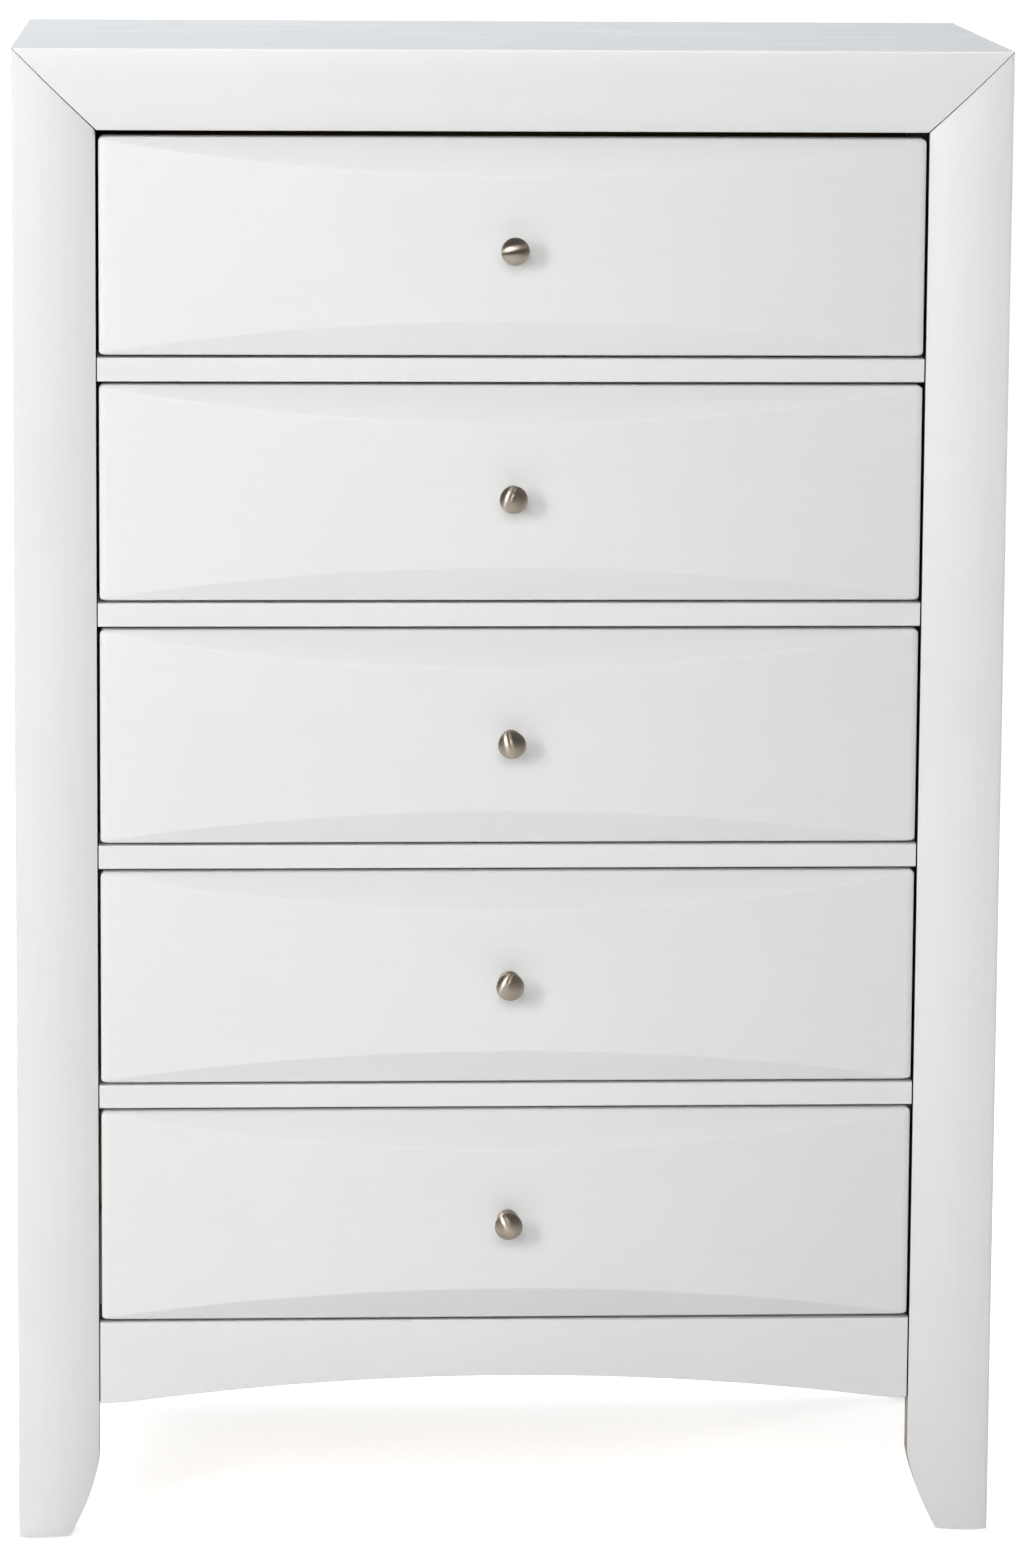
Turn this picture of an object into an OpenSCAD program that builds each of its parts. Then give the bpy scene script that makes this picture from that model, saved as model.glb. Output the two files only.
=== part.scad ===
// Tall chest of five drawers.
// A mitred frame of two posts and a top rail surrounds five inset drawers with bowed,
// bevelled fronts. Each drawer is a wooden box that slides on a steel centre track.
// Frame: X to the right, Y to the back, Z up. The origin is on the floor, under the
// middle of the whole object. All sizes are in millimetres.

/* [Overall] */
// Width over the outer faces of the posts
chest_w = 813; // [780:1:860]
// Depth from the most forward line of the posts to the rear legs' back faces
chest_d = 406; // [390:1:450]
// Height from the floor to the top
chest_h = 1245; // [1200:1:1300]

/* [Front frame] */
// Width of a post and of the top rail, seen from the front
frame_w = 67; // [60:1:72]
// Thickness of the posts and the top rail, front to back
frame_t = 35; // [32:1:38]
// Radius of the rounded front of the posts and the top rail
crown_r = 100; // [90:5:160]
// Distance of the most forward line from the outer edge
crown_u = 14; // [10:1:20]
// Radius of the outer front corner
edge_r = 2.5; // [2:0.5:6]
// Width of a foot at the floor
foot_w = 41.5; // [36:0.5:50]
// Height at which the inner edge of a foot starts to taper
taper_h = 65; // [50:1:80]
// Radius of the tapering edge
taper_r = 190; // [150:5:260]

/* [Rails and apron] */
// Thickness of the drawer rails
rail_t = 19.5; // [18:0.5:22]
// Distance of the rails' and apron's faces behind the posts' most forward line
rail_set = 15; // [14:0.5:17]
// Width of the rails behind the posts, front to back
rail_d = 35; // [30:1:50]
// Height of the apron's top edge
apron_top = 182.5; // [175:0.5:190]
// Height of the apron's lower edge at its ends
apron_z = 112.5; // [105:0.5:120]
// Rise of the arch in the apron
arch_rise = 21.5; // [12:0.5:25]
// Width of the arch
arch_w = 640; // [560:5:660]

/* [Drawer fronts] */
// Gap round a drawer front
gap = 2.5; // [2:0.5:3]
// Gap above the top drawer
top_gap = 5; // [3:0.5:6]
// Distance of a front's middle ahead of the posts' most forward line
face_out = 5; // [0:0.5:8]
// How far the sides of a front stand back from its middle
bow = 17.8; // [12:0.2:19]
// Height of the bevels along the top and the bottom, at the middle
bevel_h = 30; // [20:1:40]
// How far the top and bottom edges stand back from the middle
bevel_set = 19; // [18:0.5:24]
// Distance from the middle of a front to its back
front_t = 39; // [37:1:42]

/* [Knobs] */
// Diameter of the head
knob_d = 23; // [18:0.5:26]
// Distance that the knob stands out from the drawer front
knob_l = 26; // [22:0.5:30]

/* [Boards] */
// Thickness of the side panels
side_t = 16; // [12:1:18]
// Thickness of the top panel
top_t = 18; // [16:1:22]
// Distance of the top panel's front edge behind the posts' most forward line
top_set = 7; // [6:0.5:10]
// Thickness of the back panel
back_t = 4; // [3:0.5:6]
// Distance of the back panel's face behind the rear legs' back faces
back_set = 2; // [1:0.5:3]
// Width of a rear leg
leg_w = 41.5; // [36:0.5:50]
// Depth of a rear leg
leg_d = 35; // [30:1:40]
// Thickness of the rear apron
rear_apron_t = 18; // [15:1:20]
// Height of the rear apron's lower edge
rear_apron_z = 75; // [70:1:120]

/* [Drawer boxes] */
// Width of a box over its sides
box_w = 660; // [640:1:668]
// Height of the sides
box_h = 150; // [130:1:160]
// Length of the sides behind the front
box_l = 318; // [300:1:320]
// Thickness of the sides and the back
box_t = 12; // [10:1:14]
// Thickness of the bottom
bottom_t = 5; // [4:0.5:6]
// Height of the bottom above the lower edge of the sides
bottom_up = 12; // [12:1:14]

/* [Hidden] */
$fn = 128;
DRAWERS = 5;
fine = 256; // segments of the large arcs

half_w = chest_w / 2;
front_y = -(chest_d - (face_out + knob_l)) / 2;
back_y = front_y + chest_d;
face_y = front_y - face_out;
rail_y = front_y + rail_set;
post_back_y = front_y + frame_t;
open_w = chest_w - 2 * frame_w;
inside_w = chest_w - 2 * side_t;
leg_y = back_y - leg_d;
top_z = chest_h - top_t;
back_panel_y = back_y - back_set - back_t;

// Drawer bays: bay n runs up from bay_z(n), and drawer 1 is at the top
pitch = (chest_h - frame_w - top_gap - apron_top + rail_t + gap) / DRAWERS;
front_w = open_w - 2 * gap;
front_h = pitch - rail_t - 2 * gap;
box_y = face_y + front_t;
box_end_y = box_y + box_l;
box_in_w = box_w - 2 * box_t;
housing = 6; // depth of the housings in the front's back and of the bottom's grooves
dado = 4; // depth of the housings for the drawer's back
back_drop = 8; // distance of the back's top edge below the sides'
run = 0.3; // clearance between a drawer side and the pad it slides on

pad_t = 2.7;
pad_l = 24;
pad_set = 3; // distance of a pad behind the posts
side_up = pad_t + run;

track_w = 22;
track_h = 10;
track_t = 1.2;
track_slot = 10;
track_set = 42; // distance of the track's front end behind the posts' most forward line
socket_w = 38;
socket_d = 26;
socket_wall = 8;
socket_under = 6;
socket_over = 7;
socket_play = 0.2;

guide_w = 34;
guide_plate_t = 4;
guide_leg_w = 24;
guide_l = 21;
guide_under = 1.5; // clearance between the guide's leg and the track
guide_stem_w = 6.8;
guide_head_w = 16;
guide_head_z = 3;
guide_head_t = 3.4;

glide_t = 2;
glide_r = 9;
glide_in = 20; // distance of a foot glide's middle from the outer face
block = 45; // legs of the glued corner blocks
block_h = 43;

collar_r = 9;
collar_t = 2.2;
neck_r = 5;
flare_z = 11; // distance from the drawer front to the start of the head's flare
rim_z = 20;
rim_t = 1.5;
screw_r = 2;
screw_hole_r = 2.5;
screw_depth = 14;

paint = "#f1f1ef";
top_paint = "#d9dde0";
pale_wood = "#d9be93";
ply = "#e3cda6";
fibreboard = "#c7a97c";
nickel = "#a9a49b";
steel = "#b9bdc0";
nylon = "#ecebe4";
brown = "#4b3a2c";

// Height of the floor of bay n, which is the top of the rail under drawer n
function bay_z(n) = apron_top + (DRAWERS - n) * pitch;

// Set-back of the rounded section at distance u from its outer edge
function crown_v(u) = crown_r - sqrt(crown_r * crown_r - (u - crown_u) * (u - crown_u));

// Radius of the arc with this chord and this rise
function arc_r(chord, rise) = (chord * chord / 4 + rise * rise) / (2 * rise);

// A prism whose outline lies in the XZ plane, from y to y + t
module front_view(y, t) {
  translate([0, y + t, 0]) rotate([90, 0, 0]) linear_extrude(t) children();
}

// A prism whose outline lies in the YZ plane, from x to x + t
module side_view(x, t) {
  translate([x, 0, 0]) rotate([90, 0, 90]) linear_extrude(t) children();
}

// A board between two corners
module board(low, high) {
  translate(low) cube(high - low);
}

// The right-hand piece of a pair is the left-hand one mirrored
module on_side(right) {
  if (right) mirror([1, 0, 0]) children();
  else children();
}

// ---- Carcass ----

// Section of the posts and the top rail: X runs inwards from the outer edge, Y to the back
module frame_section() {
  corner_v = edge_r + crown_v(edge_r);
  intersection() {
    translate([crown_u, crown_r]) circle(r = crown_r, $fn = fine);
    union() {
      translate([edge_r, 0]) square([frame_w - edge_r, frame_t]);
      translate([0, corner_v]) square([frame_w, frame_t - corner_v]);
      translate([edge_r, corner_v]) circle(r = edge_r);
    }
  }
}

// Outline of the left post seen from the front: X runs inwards from its outer edge
module post_outline() {
  chord = norm([frame_w - foot_w, taper_h]);
  across = sqrt(taper_r * taper_r - chord * chord / 4) / chord;
  arc_x = (frame_w + foot_w) / 2 - taper_h * across;
  arc_z = taper_h / 2 + (frame_w - foot_w) * across;
  difference() {
    polygon([[0, glide_t], [frame_w, glide_t], [frame_w, chest_h - frame_w], [0, chest_h]]);
    difference() {
      translate([foot_w - frame_w, 0]) square([2 * frame_w, taper_h]);
      translate([arc_x, arc_z]) circle(r = taper_r, $fn = fine);
    }
  }
}

// Room for the top panel in the back of the frame
module top_rebate() {
  board([-half_w - 1, front_y + top_set, top_z], [half_w + 1, back_y, chest_h + 1]);
}

module front_post() {
  color(paint) difference() {
    intersection() {
      translate([-half_w, front_y, 0]) linear_extrude(chest_h) frame_section();
      translate([-half_w, 0, 0]) front_view(front_y - 1, frame_t + 2) post_outline();
    }
    top_rebate();
  }
}

module top_front_rail() {
  color(paint) difference() {
    intersection() {
      translate([-half_w, front_y, chest_h]) rotate([0, 90, 0]) linear_extrude(chest_w)
        frame_section();
      front_view(front_y - 1, frame_t + 2) polygon([
        [-half_w, chest_h], [half_w, chest_h],
        [open_w / 2, chest_h - frame_w], [-open_w / 2, chest_h - frame_w]
      ]);
    }
    top_rebate();
  }
}

module top_panel() {
  color(top_paint)
    board([-half_w, front_y + top_set, top_z], [half_w, back_y, chest_h]);
}

module side_panel() {
  color(paint)
    board([-half_w, post_back_y, apron_z], [-half_w + side_t, leg_y, top_z]);
}

// The leg's back inner edge is rebated for the back panel
module rear_leg() {
  rebate = 9;
  color(paint) difference() {
    board([-half_w, leg_y, glide_t], [-half_w + leg_w, back_y, top_z]);
    board([-half_w + leg_w - rebate, back_panel_y, 0], [0, back_y + 1, chest_h]);
  }
}

module rear_apron() {
  drop = 8; // keeps the top edge below the lowest track socket
  color(paint) board(
    [-half_w + leg_w, back_panel_y - rear_apron_t, rear_apron_z],
    [half_w - leg_w, back_panel_y, apron_top - drop]
  );
}

module back_panel() {
  over = 9; // width of the panel behind each leg
  up = 5;
  color(fibreboard) board(
    [-half_w + leg_w - over, back_panel_y, apron_z + up],
    [half_w - leg_w + over, back_panel_y + back_t, top_z]
  );
}

// A rail fits between the posts and is notched round them to reach the side panels
module drawer_rail(n) {
  z = bay_z(n);
  color(paint) union() {
    board([-open_w / 2, rail_y, z - rail_t], [open_w / 2, post_back_y + rail_d, z]);
    board([-inside_w / 2, post_back_y, z - rail_t], [inside_w / 2, post_back_y + rail_d, z]);
  }
}

module bottom_rail() {
  color(pale_wood) board(
    [-inside_w / 2, post_back_y, apron_top - rail_t],
    [inside_w / 2, post_back_y + rail_d, apron_top]
  );
}

module front_apron() {
  r = arc_r(arch_w, arch_rise);
  color(paint) front_view(rail_y, frame_t - rail_set) difference() {
    translate([-open_w / 2, apron_z]) square([open_w, apron_top - apron_z]);
    translate([0, apron_z + arch_rise - r]) circle(r = r, $fn = fine);
  }
}

// Glued blocks: four at the feet and two under the top panel
module corner_blocks() {
  low_z = apron_top - rail_t - block_h;
  rear_w = leg_w - side_t;
  color(pale_wood) for (right = [false, true]) on_side(right) {
    for (z = [low_z, top_z - block_h])
      translate([-inside_w / 2, post_back_y, z]) linear_extrude(block_h)
        polygon([[0, 0], [block, 0], [0, block]]);
    translate([-inside_w / 2, leg_y, low_z]) linear_extrude(block_h)
      polygon([[0, 0], [rear_w, 0], [0, -block]]);
  }
}

module foot_glides() {
  color(brown)
    for (x = [-half_w + glide_in, half_w - glide_in], y = [front_y + 18, back_y - 18])
      translate([x, y, 0]) cylinder(r = glide_r, h = glide_t);
}

// ---- Drawer runners ----

// A steel channel with a slot along its top, screwed to the rail and held in the socket
module glide_track(n) {
  y = front_y + track_set;
  end_y = back_panel_y - socket_wall;
  color(steel) translate([0, 0, bay_z(n)]) front_view(y, end_y - y) difference() {
    translate([-track_w / 2, 0]) square([track_w, track_h]);
    translate([-track_w / 2 + track_t, track_t])
      square([track_w - 2 * track_t, track_h - 2 * track_t]);
    translate([-track_slot / 2, track_t]) square([track_slot, track_h]);
  }
}

// Blocks on the back panel, each with a pocket for the end of a track
module track_sockets() {
  y = back_panel_y - socket_d;
  color(nylon) for (n = [1:DRAWERS]) translate([0, 0, bay_z(n)]) difference() {
    board([-socket_w / 2, y, -socket_under],
      [socket_w / 2, back_panel_y, track_h + socket_over]);
    board([-track_w / 2 - socket_play, y - 1, -socket_play],
      [track_w / 2 + socket_play, back_panel_y - socket_wall, track_h + socket_play]);
  }
}

// Two pads on every rail carry the sides of the drawer above it
module glide_pads() {
  y = post_back_y + pad_set;
  color(nylon) for (n = [1:DRAWERS], x = [-box_w / 2, box_w / 2 - box_t])
    board([x, y, bay_z(n)], [x + box_t, y + pad_l, bay_z(n) + pad_t]);
}

// ---- Drawers ----

// The front bows out between its sides, and flat bevels along its top and bottom meet
// the bow in long curves
module drawer_front(n) {
  z = bay_z(n) + gap;
  edge_y = face_y + bevel_set;
  ahead = 1.2; // the bevels run on past the bow by this factor
  color(paint) difference() {
    intersection() {
      translate([0, 0, z]) linear_extrude(front_h) intersection() {
        translate([0, face_y + arc_r(front_w, bow)])
          circle(r = arc_r(front_w, bow), $fn = fine);
        translate([-front_w / 2, face_y - 1]) square([front_w, front_t + 1]);
      }
      translate([0, 0, z]) side_view(-front_w / 2 - 1, front_w + 2) polygon([
        [box_y + 1, 0], [edge_y, 0],
        [edge_y - bevel_set * ahead, bevel_h * ahead],
        [edge_y - bevel_set * ahead, front_h - bevel_h * ahead],
        [edge_y, front_h], [box_y + 1, front_h]
      ]);
    }
    for (right = [false, true]) on_side(right) side_blank(n);
    bottom_blank(n);
    translate([0, box_y + 1, z + front_h / 2]) rotate([90, 0, 0])
      cylinder(r = screw_hole_r, h = front_t + 2);
  }
}

// The left side before it is grooved, with its tongue in the front
module side_blank(n) {
  z = bay_z(n) + side_up;
  board([-box_w / 2, box_y - housing, z], [-box_w / 2 + box_t, box_end_y, z + box_h]);
}

// The bottom, which lies in grooves in the front and the sides
module bottom_blank(n) {
  x = box_in_w / 2 + housing;
  z = bay_z(n) + side_up + bottom_up;
  board([-x, box_y - housing, z], [x, box_end_y, z + bottom_t]);
}

// The back, which stands on the bottom and in housings in the sides
module back_blank(n) {
  x = box_in_w / 2 + dado;
  z = bay_z(n) + side_up;
  board([-x, box_end_y - box_t, z + bottom_up + bottom_t],
    [x, box_end_y, z + box_h - back_drop]);
}

module drawer_side(n) {
  color(pale_wood) difference() {
    side_blank(n);
    bottom_blank(n);
    back_blank(n);
  }
}

module drawer_back(n) {
  color(pale_wood) back_blank(n);
}

module drawer_bottom(n) {
  color(ply) bottom_blank(n);
}

// A nylon hook on the drawer's back: its T-shaped foot runs inside the track
module drawer_guide(n) {
  leg_z = track_h + guide_under;
  plate_z = side_up + bottom_up + bottom_t;
  color(nylon) translate([0, box_end_y, bay_z(n)]) union() {
    board([-guide_w / 2, 0, leg_z], [guide_w / 2, guide_plate_t, plate_z + 40]);
    board([-guide_leg_w / 2, 0, leg_z], [guide_leg_w / 2, guide_l, plate_z + 4]);
    board([-guide_stem_w / 2, 0, guide_head_z], [guide_stem_w / 2, guide_l, leg_z + 1]);
    board([-guide_head_w / 2, 0, guide_head_z],
      [guide_head_w / 2, guide_l, guide_head_z + guide_head_t]);
  }
}

// A round knob with a collar, a neck and a domed head, drilled for its screw
module drawer_knob(n) {
  r = knob_d / 2;
  dome_z = rim_z + rim_t;
  dome_r = arc_r(knob_d, knob_l - dome_z);
  color(nickel) translate([0, face_y, bay_z(n) + gap + front_h / 2]) rotate([90, 0, 0])
    difference() {
      rotate_extrude() {
        square([collar_r, collar_t]);
        square([neck_r, dome_z]);
        polygon([[0, flare_z], [neck_r, flare_z], [r, rim_z], [r, dome_z], [0, dome_z]]);
        intersection() {
          translate([0, knob_l - dome_r]) circle(r = dome_r);
          translate([0, rim_z]) square([r, knob_l - rim_z]);
        }
      }
      translate([0, 0, -1]) cylinder(r = screw_r, h = screw_depth + 1);
    }
}

top_panel();
side_panel();  // left_side_panel
on_side(true) side_panel();  // right_side_panel
back_panel();
front_post();  // left_front_post
on_side(true) front_post();  // right_front_post
top_front_rail();
bottom_rail();
front_apron();
rear_leg();  // left_rear_leg
on_side(true) rear_leg();  // right_rear_leg
rear_apron();
track_sockets();
glide_pads();
corner_blocks();
foot_glides();
for (n = [1:DRAWERS - 1]) {
  drawer_rail(n);
}
for (n = [1:DRAWERS]) {
  drawer = str("drawer_", n);
  glide_track(n);
  drawer_front(n);
  drawer_side(n);
  on_side(true) drawer_side(n);
  drawer_back(n);
  drawer_bottom(n);
  drawer_guide(n);
  drawer_knob(n);
}
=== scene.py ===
"""A tall white chest of five drawers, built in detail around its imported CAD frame.

Everything is in metres, in the CAD model's frame: X to the right, Y to the back, Z up. Places
come from the CAD nodes' boxes. Pieces that the CAD model holds only as plain solids are
rebuilt here with rounded edges, and the rest keep their CAD meshes.
"""

import math

import bmesh
import bpy
from mathutils import Matrix, Vector


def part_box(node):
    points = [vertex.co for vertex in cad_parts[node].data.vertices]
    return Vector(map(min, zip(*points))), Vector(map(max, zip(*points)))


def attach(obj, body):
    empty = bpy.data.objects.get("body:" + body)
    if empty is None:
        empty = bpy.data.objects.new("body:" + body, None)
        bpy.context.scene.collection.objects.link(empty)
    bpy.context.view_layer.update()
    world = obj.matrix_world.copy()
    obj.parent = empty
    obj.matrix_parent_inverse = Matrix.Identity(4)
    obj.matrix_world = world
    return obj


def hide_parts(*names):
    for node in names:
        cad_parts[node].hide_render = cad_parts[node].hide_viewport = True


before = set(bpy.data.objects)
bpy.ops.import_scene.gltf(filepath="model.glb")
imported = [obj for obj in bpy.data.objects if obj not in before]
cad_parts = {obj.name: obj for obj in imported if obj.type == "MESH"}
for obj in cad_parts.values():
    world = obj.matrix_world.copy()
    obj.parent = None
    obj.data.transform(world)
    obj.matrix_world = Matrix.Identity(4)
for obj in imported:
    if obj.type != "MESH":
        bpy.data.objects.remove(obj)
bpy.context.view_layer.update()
scene = bpy.context.scene

MM = 0.001
DRAWERS = range(1, 6)
CARCASS = "carcass"

# ---- Places, from the CAD frame ----

post_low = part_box("left_front_post")[0]
rail_low, rail_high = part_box("top_front_rail")
top_low, top_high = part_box("top_panel")

HALF_W = rail_high.x
TOP_Z = rail_high.z
FRAME_W = rail_high.z - rail_low.z
FRONT_Y = rail_low.y
POST_BACK_Y = rail_high.y
FRAME_T = POST_BACK_Y - FRONT_Y
OPEN_X = HALF_W - FRAME_W
FOOT_Z = post_low.z
BACK_Y = top_high.y
APRON_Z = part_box("front_apron")[0].z

# ---- Sizes that shape the rebuilt pieces ----

CROWN_R = 100 * MM  # radius of the posts' and the top rail's rounded front
CROWN_U = 14 * MM  # its most forward line, from the outer edge
CORNER_R = 2.5 * MM  # radius of the outer front corner
TAPER_Z = 65 * MM  # where a foot starts to taper
TAPER_R = 190 * MM  # radius of the taper's slight bulge
FOOT_W = 41.5 * MM  # width of a foot on the floor
MITRE_GAP = (0.5 * MM, 1.1 * MM)  # width of the mitre's gap at its outer and inner end
SEAM_LEFT = 1.0 * MM  # gap between the left post and the ends of the rails and the apron
SEAM_RIGHT = 1.3 * MM  # the same gap at the right post
MITRE_REACH = 1.6 * MM  # how far from the mitre's middle a point still counts as on it
EDGE_R = 0.9 * MM  # rounding of the frame's sharp edges
FINE_R = 0.3 * MM  # rounding where two pieces meet
SHARP = math.radians(25)  # edges that turn by more than this are eased

BEVEL_H = 30 * MM  # height of a drawer front's bevels, at its middle
BEVEL_SET = 19 * MM  # how far its top and bottom edges stand back
BOW = 17.8 * MM  # how far its sides stand back
SIDE_ROUND = 6 * MM  # width of the rounding along its sides
SIDE_FALL = 0.4  # depth of that rounding, as a share of its width
EDGE_ROUND = 1.8 * MM  # radius of the rounding along its top and bottom edges
CORNER_ROUND = 4 * MM  # radius of its four corners, seen from the front

GLOSS_ANGLES = (12, 70, 104, 66, 120)  # of the knobs' gloss, in degrees from the X axis


# ---- Meshes ----


def link(name, bm):
    """A new object with this mesh, its faces smooth."""
    mesh = bpy.data.meshes.new(name)
    bmesh.ops.recalc_face_normals(bm, faces=bm.faces)
    bm.to_mesh(mesh)
    bm.free()
    mesh.shade_smooth()
    obj = bpy.data.objects.new(name, mesh)
    scene.collection.objects.link(obj)
    return obj


def weighted(obj):
    """Flat faces stay flat and rounded edges stay round."""
    modifier = obj.modifiers.new("weighted_normals", "WEIGHTED_NORMAL")
    modifier.weight = 80
    modifier.keep_sharp = True


def place(obj, body, slot, material, *replaced):
    """Gives a piece its material and its body, and hides the CAD nodes it stands for. The slot is not used.
    """
    obj.data.materials.append(material)
    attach(obj, body)
    if replaced:
        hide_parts(*replaced)
    return obj


def prism(outline, axis, low, high):
    """A solid whose outline lies across the axis: (y, z), (x, z) or (x, y) points."""
    def point(pair, along):
        a, b = pair
        return {"x": (along, a, b), "y": (a, along, b), "z": (a, b, along)}[axis]

    bm = bmesh.new()
    near = [bm.verts.new(point(pair, low)) for pair in outline]
    far = [bm.verts.new(point(pair, high)) for pair in outline]
    bm.faces.new(near)
    bm.faces.new(far)
    for i, vert in enumerate(near):
        j = (i + 1) % len(near)
        bm.faces.new((vert, near[j], far[j], far[i]))
    bmesh.ops.recalc_face_normals(bm, faces=bm.faces)
    return bm


def block(low, high):
    """A box between two corners."""
    return prism([(low[0], low[1]), (high[0], low[1]), (high[0], high[1]), (low[0], high[1])],
                 "z", low[2], high[2])


def ease(bm, radius, where=lambda a, b: True, segments=3):
    """Rounds the sharp edges whose ends satisfy where."""
    edges = [
        e for e in bm.edges
        if len(e.link_faces) == 2
        and e.calc_face_angle(0.0) > SHARP
        and where(e.verts[0].co, e.verts[1].co)
    ]
    bmesh.ops.bevel(bm, geom=edges, offset=radius, segments=segments, profile=0.5,
                    affect="EDGES", clamp_overlap=True)
    return bm


def cut(bm, tool):
    """The first mesh less the second, which are both used up."""
    target = link("cut_target", bm)
    cutter = link("cut_tool", tool)
    modifier = target.modifiers.new("cut", "BOOLEAN")
    modifier.operation = "DIFFERENCE"
    modifier.solver = "EXACT"
    modifier.object = cutter
    evaluated = target.evaluated_get(bpy.context.evaluated_depsgraph_get())
    result = bmesh.new()
    result.from_mesh(evaluated.to_mesh())
    evaluated.to_mesh_clear()
    for obj in (target, cutter):
        mesh = obj.data
        bpy.data.objects.remove(obj)
        bpy.data.meshes.remove(mesh)
    bmesh.ops.remove_doubles(result, verts=result.verts, dist=0.001 * MM)
    return result


def lathe(profile, segments):
    """A turned solid about Z. The profile's (radius, z) points run from axis to axis."""
    bm = bmesh.new()
    rings = []
    for radius, z in profile:
        if radius < 1e-7:
            rings.append([bm.verts.new((0.0, 0.0, z))])
            continue
        turns = (2 * math.pi * i / segments for i in range(segments))
        rings.append([bm.verts.new((radius * math.cos(t), radius * math.sin(t), z)) for t in turns])
    for lower, upper in zip(rings, rings[1:]):
        for i in range(segments):
            j = (i + 1) % segments
            corners = [lower[i % len(lower)], lower[j % len(lower)],
                       upper[j % len(upper)], upper[i % len(upper)]]
            bm.faces.new(list(dict.fromkeys(corners)))
    return bm


def arc(centre, radius, start, end, count):
    """Points on an arc, with the angles in degrees."""
    angles = (math.radians(start + (end - start) * i / count) for i in range(count + 1))
    return [(centre[0] + radius * math.cos(a), centre[1] + radius * math.sin(a)) for a in angles]


# ---- Materials ----


class Paint:
    """A node material that is built up step by step around one Principled shader."""

    def __init__(self, name, colour, roughness, metallic=0.0):
        self.material = bpy.data.materials.new(name)
        self.material.use_nodes = True
        self.tree = self.material.node_tree
        self.shader = self.tree.nodes["Principled BSDF"]
        self.shader.inputs["Base Color"].default_value = (*colour, 1.0)
        self.shader.inputs["Roughness"].default_value = roughness
        self.shader.inputs["Metallic"].default_value = metallic
        self.place = self.tree.nodes.new("ShaderNodeTexCoord").outputs["Object"]

    def node(self, kind, **values):
        made = self.tree.nodes.new("ShaderNode" + kind)
        for key, value in values.items():
            setattr(made, key, value)
        return made

    def noise(self, stretch, detail=4.0, roughness=0.55, distortion=0.0):
        """Noise with so many features to the metre along X, Y and Z."""
        mapping = self.node("Mapping")
        mapping.inputs["Scale"].default_value = stretch
        self.tree.links.new(self.place, mapping.inputs["Vector"])
        made = self.node("TexNoise")
        made.inputs["Scale"].default_value = 1.0
        made.inputs["Detail"].default_value = detail
        made.inputs["Roughness"].default_value = roughness
        made.inputs["Distortion"].default_value = distortion
        self.tree.links.new(mapping.outputs["Vector"], made.inputs["Vector"])
        return made.outputs["Fac"]

    def spread(self, value, low, high, start=0.3, end=0.7):
        """The value's middle range, mapped to low to high."""
        made = self.node("MapRange")
        made.inputs["From Min"].default_value = start
        made.inputs["From Max"].default_value = end
        made.inputs["To Min"].default_value = low
        made.inputs["To Max"].default_value = high
        self.tree.links.new(value, made.inputs["Value"])
        return made.outputs["Result"]

    def tint(self, value, colour, start=0.35, end=0.65, strength=1.0):
        """Mixes another colour in where the value is high."""
        mix = self.node("Mix", data_type="RGBA")
        self.tree.links.new(self.spread(value, 0.0, strength, start, end), mix.inputs["Factor"])
        base = self.shader.inputs["Base Color"]
        if base.is_linked:
            self.tree.links.new(base.links[0].from_socket, mix.inputs["A"])
        else:
            mix.inputs["A"].default_value = base.default_value
        mix.inputs["B"].default_value = (*colour, 1.0)
        self.tree.links.new(mix.outputs["Result"], base)

    def gloss(self, value, low, high):
        """Varies the roughness with the value."""
        self.tree.links.new(self.spread(value, low, high), self.shader.inputs["Roughness"])

    def bump(self, value, depth):
        """Raises the surface by the value, to this depth in metres."""
        made = self.node("Bump")
        made.inputs["Strength"].default_value = 1.0
        made.inputs["Distance"].default_value = depth
        self.tree.links.new(value, made.inputs["Height"])
        normal = self.shader.inputs["Normal"]
        if normal.is_linked:
            self.tree.links.new(normal.links[0].from_socket, made.inputs["Normal"])
        self.tree.links.new(made.outputs["Normal"], normal)


def along(axis, long, across):
    """Noise scales for grain that runs along an axis."""
    return tuple(long if a == axis else across for a in "xyz")


def lacquer(name, axis):
    """Satin white lacquer on wood whose grain runs along the axis."""
    paint = Paint(name, (0.80, 0.80, 0.797), 0.36)
    paint.shader.inputs["Specular IOR Level"].default_value = 0.45
    paint.tint(paint.noise((3, 3, 3), detail=2), (0.775, 0.775, 0.775), strength=0.8)
    paint.tint(paint.noise(along(axis, 5, 260)), (0.745, 0.743, 0.74), 0.55, 0.8, 0.35)
    paint.gloss(paint.noise((60, 60, 60), detail=3), 0.33, 0.42)
    paint.bump(paint.noise((700, 700, 700), detail=1), 0.03 * MM)
    paint.bump(paint.noise(along(axis, 6, 420), detail=5), 0.05 * MM)
    return paint.material


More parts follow.
